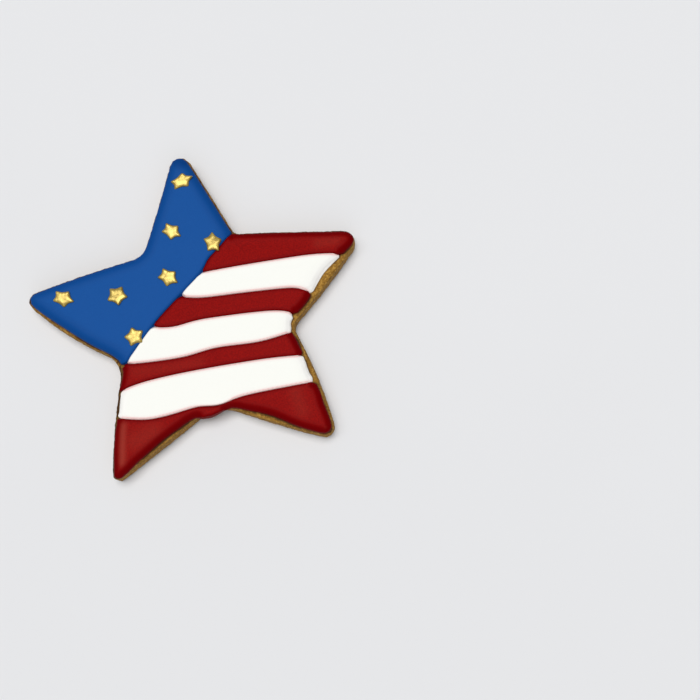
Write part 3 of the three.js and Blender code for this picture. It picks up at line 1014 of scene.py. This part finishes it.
def lay_star(model, solid, name, lay, sizes):
    """A copy of the star with its own mesh, pressed into the blue at the place of its solid."""
    star = bpy.data.objects.new(name, model.data.copy())
    bpy.context.scene.collection.objects.link(star)
    low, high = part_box(solid)
    across, up = (MILLIMETRE * step for step in lay["drift"])
    middle = ((low.x + high.x) / 2 + across, (low.y + high.y) / 2 + up, low.z - sizes.sink)
    turned = Matrix.Rotation(math.radians(lay["turn"] - 90), 4, 'Z')
    squashed = Matrix.Diagonal((lay["across"], lay["up"], 1, 1))
    tilted = Matrix.Rotation(math.radians(lay["tilt"]), 4, 'X')
    star.matrix_world = Matrix.Translation(middle) @ tilted @ squashed @ turned
    select_only(star)
    bpy.ops.object.transform_apply(location=True, rotation=True, scale=True)
    ruffle(star, clouds(name + " dents", DENT_SIZE, 1, DENT_CONTRAST), sizes.dent)
    # painted shade on the star's steep sides
    paint(star, "edge", STEEP_SHADE * (1 - smooth_step(directions(star)[:, 2], *STEEP)))
    return star


class COOKIE_OT_gold_stars(bpy.types.Operator):
    """Press the seven gold stars into the blue"""

    bl_idname = "cookie.gold_stars"
    bl_label = "Gold stars"

    def execute(self, context):
        sizes = context.scene.cookie_stars
        model = model_star(sizes)
        material = gold_material(sizes)
        for number, (solid, lay) in enumerate(zip(STAR_SOLIDS, STAR_LAYS), 1):
            star = lay_star(model, solid, f"sugar_star_{number}", lay, sizes)
            hand_in(star, [solid], material)
        bpy.data.objects.remove(model)
        return {'FINISHED'}


# The stage

CAMERA_PLACE = (0.048257, -0.056868, 0.297224)
CAMERA_TILT = 9.0                  # degrees from straight down
SENSOR_WIDTH = 36                  # millimetres
NEAREST_SEEN = 0.01
FLOOR_GAP = 0.00002                # keeps the floor and the flat underside apart
FLOOR_SHADE = 0.985                # the darker patches of the floor, as a share of its colour
ROOM_TINT = (0.96, 0.98, 1.0)
LIGHTS = [                         # name, where it comes from, width in degrees, and tint
    ("key", (-0.05, 0.12, 0.99), 34, (1.0, 0.99, 0.97)),
    ("fill", (0.05, -0.65, 0.75), 60, (0.98, 0.99, 1.0)),
    ("side", (-0.45, 0.02, 0.89), 16, (1.0, 0.99, 0.96)),
]


def soft_light(name, place, spread, strength, tint):
    """An even light from far off that shines on the cookie, and looks this wide from there."""
    select_none()
    bpy.ops.object.light_add(type='SUN', location=place)
    light = bpy.context.active_object
    light.name = name
    light.rotation_euler = (-Vector(place)).to_track_quat('-Z', 'Y').to_euler()
    light.data.angle = math.radians(spread)
    light.data.energy = strength
    light.data.color = tint


class COOKIE_OT_stage(bpy.types.Operator):
    """Set the floor, the lights and the camera"""

    bl_idname = "cookie.stage"
    bl_label = "Stage"

    def execute(self, context):
        sizes = context.scene.cookie_stage
        self.lay_floor(sizes)
        for name, place, spread, tint in LIGHTS:
            soft_light(name, place, spread, getattr(sizes, name), tint)
        self.light_room(context.scene, sizes)
        self.set_camera(context.scene, sizes)
        return {'FINISHED'}

    def lay_floor(self, sizes):
        """A plain pale floor under the cookie."""
        select_none()
        bpy.ops.mesh.primitive_plane_add(size=sizes.floor_size, location=(0, 0, -FLOOR_GAP))
        floor = bpy.context.active_object
        floor.name = "floor"
        material, tree, shader, place = new_material("pale floor")
        shade = [FLOOR_SHADE * part for part in sizes.floor]
        feed(tree, shader, {
            "Base Color": mottle(tree, place, FLOOR_PATCHES, sizes.floor, shade),
            "Roughness": FLOOR_ROUGHNESS, "Specular IOR Level": FLOOR_SHINE,
        })
        floor.data.materials.append(material)

    def light_room(self, scene, sizes):
        """An even pale room all around."""
        world = bpy.data.worlds.new("pale room")
        world.use_nodes = True
        backdrop = world.node_tree.nodes["Background"]
        backdrop.inputs["Color"].default_value = opaque(ROOM_TINT)
        backdrop.inputs["Strength"].default_value = sizes.room
        scene.world = world
        scene.view_settings.view_transform = 'Standard'

    def set_camera(self, scene, sizes):
        """The photograph's view: nearly straight down, with the cookie on the left."""
        select_none()
        bpy.ops.object.camera_add(
            location=CAMERA_PLACE, rotation=(math.radians(CAMERA_TILT), 0, 0))
        camera = bpy.context.active_object
        camera.data.lens = sizes.lens / MILLIMETRE
        camera.data.sensor_width = SENSOR_WIDTH
        camera.data.clip_start = NEAREST_SEEN
        scene.camera = camera


class COOKIE_PT_pieces(bpy.types.Panel):
    """Lists the pieces of the cookie and their settings"""

    bl_idname = "COOKIE_PT_pieces"
    bl_label = "Iced Sugar Cookie"
    bl_space_type = 'VIEW_3D'
    bl_region_type = 'UI'
    bl_category = "Cookie"

    def draw(self, context):
        for step in PIECE_STEPS:
            self.layout.operator(step.bl_idname)
        for group in SETTINGS:
            box = self.layout.box()
            settings = getattr(context.scene, group)
            for key in settings.bl_rna.properties.keys():
                if key not in {"rna_type", "name"}:
                    box.prop(settings, key)


PIECE_STEPS = [
    COOKIE_OT_dough,
    COOKIE_OT_blue_icing,
    COOKIE_OT_red_icing,
    COOKIE_OT_white_icing,
    COOKIE_OT_gold_stars,
    COOKIE_OT_stage,
]
SETTINGS = {
    "cookie_dough": COOKIE_PG_dough,
    "cookie_icing": COOKIE_PG_icing,
    "cookie_stars": COOKIE_PG_stars,
    "cookie_stage": COOKIE_PG_stage,
}


def register():
    for kind in [*SETTINGS.values(), *PIECE_STEPS, COOKIE_PT_pieces]:
        bpy.utils.register_class(kind)
    for name, kind in SETTINGS.items():
        setattr(bpy.types.Scene, name, PointerProperty(type=kind))


def unregister():
    for name in SETTINGS:
        delattr(bpy.types.Scene, name)
    for kind in reversed([*SETTINGS.values(), *PIECE_STEPS, COOKIE_PT_pieces]):
        bpy.utils.unregister_class(kind)


def main():
    """Makes the cookie piece by piece, and then its stage."""
    register()
    for step in PIECE_STEPS:
        group, name = step.bl_idname.split(".")
        getattr(getattr(bpy.ops, group), name)()


if __name__ == "__main__":
    main()
